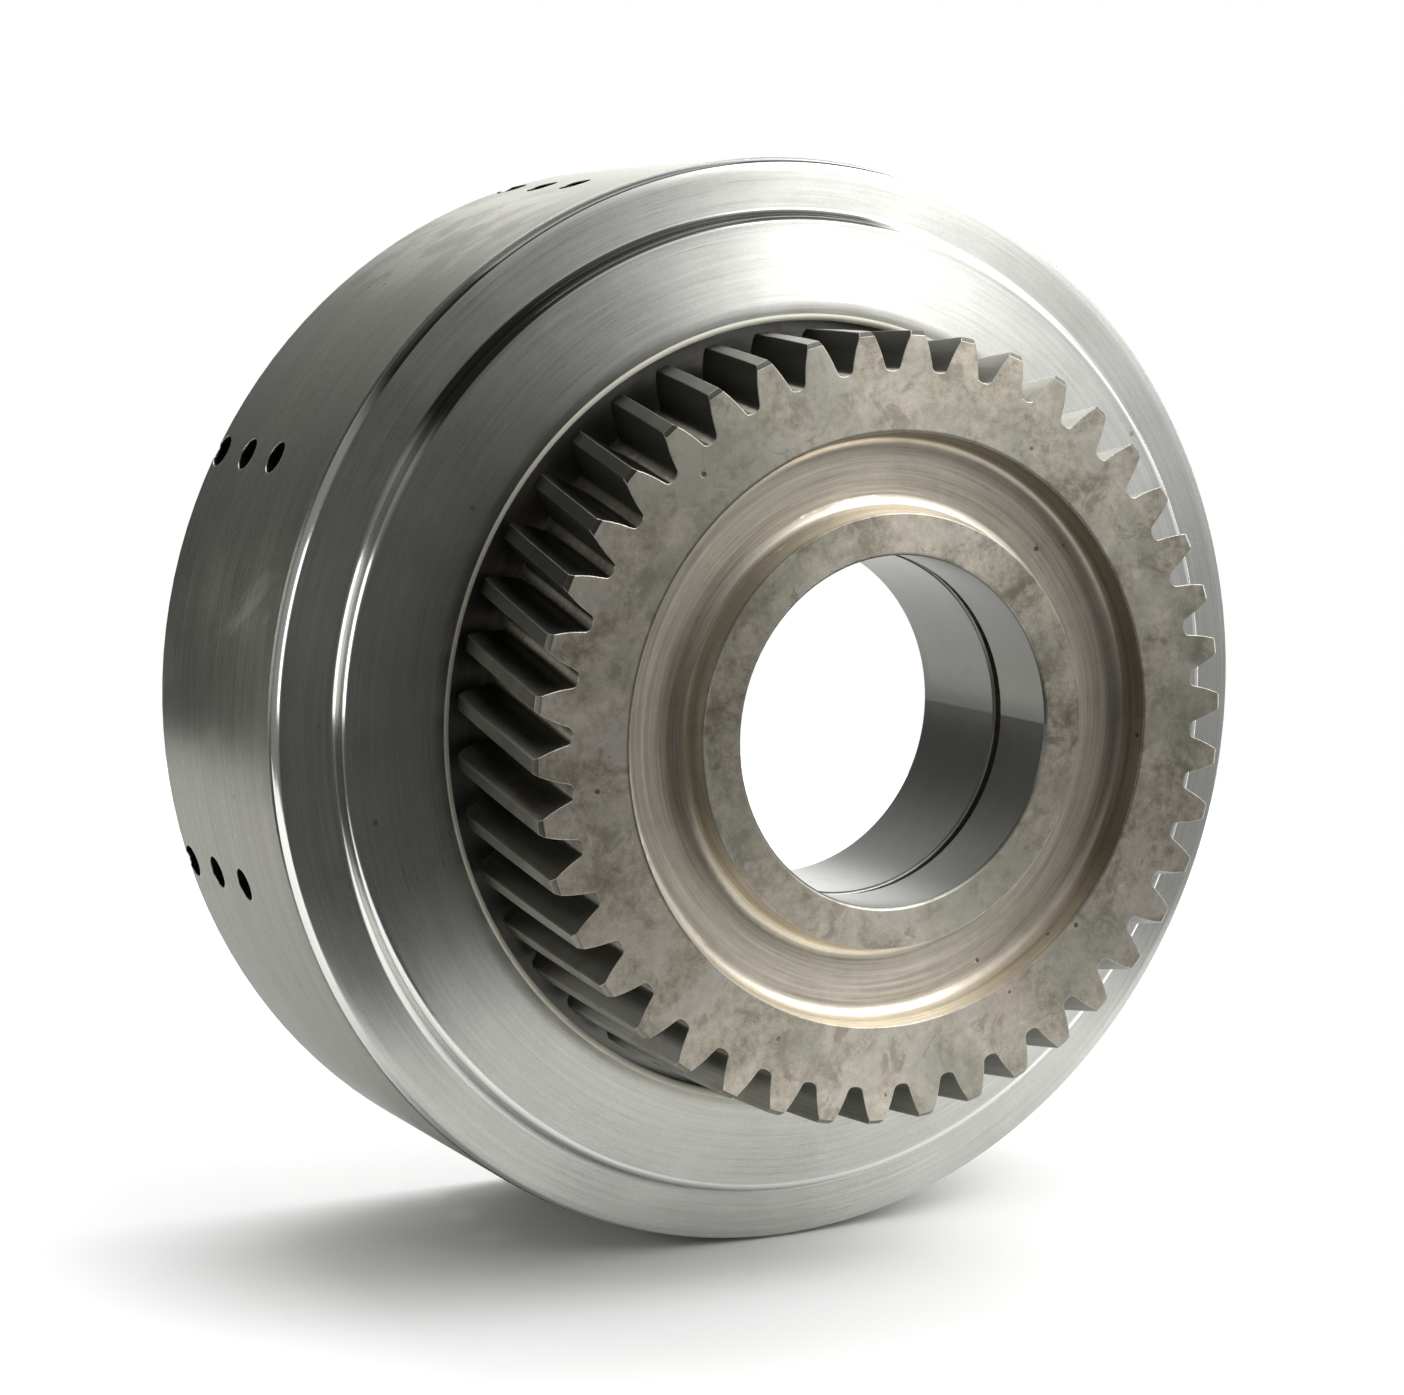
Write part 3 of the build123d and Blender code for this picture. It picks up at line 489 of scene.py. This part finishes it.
# ---------------------------------------------------------------------------
# cover: turned profile with its true edge breaks, finer than the CAD mesh
# ---------------------------------------------------------------------------
def arc3(p0, p1, p2, n):
    """Points after p0 on the circle through the three (r, y) points."""
    ax, ay, bx, by, cx_, cy_ = *p0, *p1, *p2
    d = 2 * (ax * (by - cy_) + bx * (cy_ - ay) + cx_ * (ay - by))
    ux = ((ax * ax + ay * ay) * (by - cy_) + (bx * bx + by * by) * (cy_ - ay) + (cx_ * cx_ + cy_ * cy_) * (ay - by)) / d
    uy = ((ax * ax + ay * ay) * (cx_ - bx) + (bx * bx + by * by) * (ax - cx_) + (cx_ * cx_ + cy_ * cy_) * (bx - ax)) / d
    rad = math.hypot(ax - ux, ay - uy)
    t0, t1, t2 = (math.atan2(q[1] - uy, q[0] - ux) for q in (p0, p1, p2))
    if (t1 - t0) * (t2 - t1) < 0:
        t1 += 2 * math.pi if t1 < t0 and t2 > t0 else 0
    return [(ux + rad * math.cos(t0 + (t2 - t0) * i / n), uy + rad * math.sin(t0 + (t2 - t0) * i / n)) for i in range(1, n + 1)]


def lathe(name, profile, sharp, seg, mat, body, node):
    """Closed (r, y) profile in millimetres turned about the Y axis; sharp lists the corners that stay crisp."""
    verts, faces = [], []
    n = len(profile)
    for i in range(seg):
        t = 2 * math.pi * i / seg
        for r, y in profile:
            verts.append((r * math.cos(t) / 1000, y / 1000, r * math.sin(t) / 1000))
    for i in range(seg):
        for j in range(n):
            a, b = i * n + j, i * n + (j + 1) % n
            c, d = ((i + 1) % seg) * n + (j + 1) % n, ((i + 1) % seg) * n + j
            faces.append((a, b, c, d))
    me = bpy.data.meshes.new(name)
    me.from_pydata(verts, [], faces)
    me.validate()
    vol = 0.0
    for p in me.polygons:
        v = [me.vertices[k].co for k in p.vertices]
        for k in range(1, len(v) - 1):
            vol += v[0].dot(v[k].cross(v[k + 1]))
    if vol < 0:
        me.flip_normals()
    for p in me.polygons:
        p.use_smooth = True
    crisp = set(sharp)
    for e in me.edges:
        p, q = e.vertices
        if p % n == q % n and p % n in crisp:
            e.use_edge_sharp = True
    o = bpy.data.objects.new(name, me)
    scene.collection.objects.link(o)
    me.materials.append(mat)
    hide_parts(node)
    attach(o, body)
    return o


def make_cover():
    prof = [(92.0, -4.2), (92.0, -8.35)]
    sharp = [0]
    prof += [(92.15, -8.75), (92.75, -9.32), (93.25, -9.48)]
    prof += [(93.25 + (114.6 - 93.25) * i / 6, -9.48 + 3.28 * i / 6) for i in range(1, 7)]
    prof += arc3((114.6, -6.2), (115.75, -5.75), (116.2, -4.6), 8)
    prof += [(116.45, -3.0)]
    prof += arc3((116.45, -3.0), (117.1, -1.75), (118.4, -1.25), 8)
    prof += [(118.4 + (128.55 - 118.4) * i / 5, -1.25 + 1.05 * i / 5) for i in range(1, 6)]
    prof += [(128.85, -0.08), (129.05, 0.15)]                  # edge break, then the relief taper
    prof += [(129.3, 1.15), (129.55, 2.15), (129.72, 2.85), (129.66, 3.1), (129.4, 3.22)]
    sharp += [len(prof)]
    prof += [(118.0, 3.22)]
    sharp += [len(prof), len(prof) + 1, len(prof) + 2, len(prof) + 3]
    prof += [(118.0, 8.1), (117.4, 8.7), (112.6, 8.7), (112.6, 4.4)]
    sharp += [len(prof) - 1, len(prof), len(prof) + 1]
    prof += [(106.4, 4.4), (106.4, -4.2)]
    lathe("front_cover_turned", prof, sharp, 720, cover_mat, "drum_body", "front_cover")


make_cover()


# ---------------------------------------------------------------------------
# floor
# ---------------------------------------------------------------------------
def make_floor():
    # a round sheet of paper; past its rim the backdrop is the same white
    z = cad_lo[2]
    rings, spokes, radius, px, py = 12, 96, 0.53, 0.04, 0.36
    verts, faces = [(px, py, z)], []
    for j in range(1, rings + 1):
        for i in range(spokes):
            t = 2 * math.pi * i / spokes
            verts.append((px + radius * j / rings * math.cos(t), py + radius * j / rings * math.sin(t), z))
    for i in range(spokes):
        faces.append((0, 1 + i, 1 + (i + 1) % spokes))
    for j in range(rings - 1):
        for i in range(spokes):
            p, q = 1 + j * spokes + i, 1 + j * spokes + (i + 1) % spokes
            faces.append((p, p + spokes, q + spokes, q))
    me = bpy.data.meshes.new("studio_floor")
    me.from_pydata(verts, [], faces)
    o = bpy.data.objects.new("studio_floor", me)
    scene.collection.objects.link(o)
    g = Graph("studio_paper")
    paper = g.noise(g.p, 0.02, 4.0, 0.6)
    g.surface(g.mix(paper, (0.86, 0.86, 0.86), (0.89, 0.89, 0.885)), g.fmix(paper, 0.75, 0.85),
              g.bump(g.noise(g.p, 1.5, 2.0, 0.5), 0.02, 0.3), metallic=0.0)
    me.materials.append(g.mat)


make_floor()


# ---------------------------------------------------------------------------
# light: a soft studio, bright above and to the right, darker to the left
# ---------------------------------------------------------------------------
def make_world():
    w = bpy.data.worlds.new("studio")
    scene.world = w
    w.use_nodes = True
    nt = w.node_tree
    nt.nodes.clear()
    out = nt.nodes.new("ShaderNodeOutputWorld")
    bg = nt.nodes.new("ShaderNodeBackground")
    tc = nt.nodes.new("ShaderNodeTexCoord")

    def lobe(direction, a, b, amount):
        d = nt.nodes.new("ShaderNodeVectorMath")
        d.operation = "DOT_PRODUCT"
        nt.links.new(tc.outputs["Generated"], d.inputs[0])
        v = Vector(direction).normalized()
        d.inputs[1].default_value = v
        mr = nt.nodes.new("ShaderNodeMapRange")
        mr.interpolation_type = "SMOOTHSTEP"
        nt.links.new(d.outputs["Value"], mr.inputs["Value"])
        mr.inputs["From Min"].default_value = a
        mr.inputs["From Max"].default_value = b
        mr.inputs["To Min"].default_value = 0.0
        mr.inputs["To Max"].default_value = amount
        return mr.outputs["Result"]

    total = None
    for spec in (
            ((0, 0, 1), 0.0, 0.95, 0.22),              # dim ceiling
            ((0.58, -0.36, 0.72), 0.62, 0.97, 1.7),    # glow round the key light
            ((0.30, 0.70, 0.65), 0.62, 0.98, 0.50),    # light wall behind, upper part
            ((0.58, 0.79, 0.20), 0.88, 0.99, 2.2),     # and its bright window, to the right
            ((-0.75, 0.55, -0.15), 0.55, 1.0, 0.14),   # weak fill low on the left
            ((0.95, -0.35, 0.0), 0.55, 1.0, 0.42),     # pale wall on the right
            ((0.74, -0.62, 0.26), 0.90, 0.99, 0.22),   # low window in front, to the right
    ):
        v = lobe(*spec)
        if total is None:
            total = v
        else:
            a = nt.nodes.new("ShaderNodeMath")
            a.operation = "ADD"
            nt.links.new(total, a.inputs[0])
            nt.links.new(v, a.inputs[1])
            total = a.outputs[0]
    a = nt.nodes.new("ShaderNodeMath")
    a.operation = "ADD"
    nt.links.new(total, a.inputs[0])
    a.inputs[1].default_value = 0.080
    nt.links.new(a.outputs[0], bg.inputs["Strength"])
    bg.inputs["Color"].default_value = (1.0, 1.0, 1.0, 1.0)
    # the backdrop itself is plain white
    white = nt.nodes.new("ShaderNodeBackground")
    white.inputs["Color"].default_value = (1.0, 1.0, 1.0, 1.0)
    white.inputs["Strength"].default_value = 1.0
    lp = nt.nodes.new("ShaderNodeLightPath")
    mx = nt.nodes.new("ShaderNodeMixShader")
    nt.links.new(lp.outputs["Is Camera Ray"], mx.inputs[0])
    nt.links.new(bg.outputs[0], mx.inputs[1])
    nt.links.new(white.outputs[0], mx.inputs[2])
    nt.links.new(mx.outputs[0], out.inputs["Surface"])


make_world()


def softbox(name, place, aim, size, power, shape="RECTANGLE", ratio=1.0):
    li = bpy.data.lights.new(name, "AREA")
    li.shape = shape
    li.size = size
    if shape == "RECTANGLE":
        li.size_y = size * ratio
    li.energy = power
    o = bpy.data.objects.new(name, li)
    scene.collection.objects.link(o)
    o.location = place
    o.rotation_mode = "QUATERNION"
    o.rotation_quaternion = (Vector(aim) - Vector(place)).to_track_quat("-Z", "Y")
    o.visible_camera = False
    return o


softbox("key_softbox", (0.89, -0.86, 1.11), (0.0, 0.0, 0.0), 0.92, 14.4)
softbox("top_softbox", (0.05, 0.52, 1.36), (0.0, 0.1, -0.1), 0.95, 12.6)
softbox("left_window", (-1.50, 0.02, 0.24), (0.0, 0.05, 0.05), 1.40, 7.2, ratio=0.50)
softbox("right_strip", (1.42, 0.58, 0.0), (0.0, 0.0, 0.0), 0.62, 4.5, ratio=1.2)

# ---------------------------------------------------------------------------
# camera
# ---------------------------------------------------------------------------
LENS_PX, WIDE_PX = 3182.0, 1404.0
cam_data = bpy.data.cameras.new("camera")
cam_data.sensor_width = 36.0
cam_data.lens = LENS_PX / WIDE_PX * 36.0
cam_data.clip_start = 0.01
cam_data.clip_end = 50.0
camera = bpy.data.objects.new("camera", cam_data)
scene.collection.objects.link(camera)
yaw, pitch, roll = math.radians(27.87), math.radians(-6.66), math.radians(0.70)
fw = Vector((math.sin(yaw) * math.cos(pitch), math.cos(yaw) * math.cos(pitch), math.sin(pitch)))
rt = Vector((math.cos(yaw), -math.sin(yaw), 0.0))
up = rt.cross(fw)
cx = rt * math.cos(roll) + up * math.sin(roll)
cy = up * math.cos(roll) - rt * math.sin(roll)
cz = -fw
camera.matrix_world = Matrix((
    (cx[0], cy[0], cz[0], -0.3713),
    (cx[1], cy[1], cz[1], -0.6574),
    (cx[2], cy[2], cz[2], 0.0904),
    (0.0, 0.0, 0.0, 1.0)))
scene.camera = camera
scene.view_settings.view_transform = "Standard"

# ---------------------------------------------------------------------------
# last update of the view layer
# ---------------------------------------------------------------------------
bpy.context.view_layer.update()
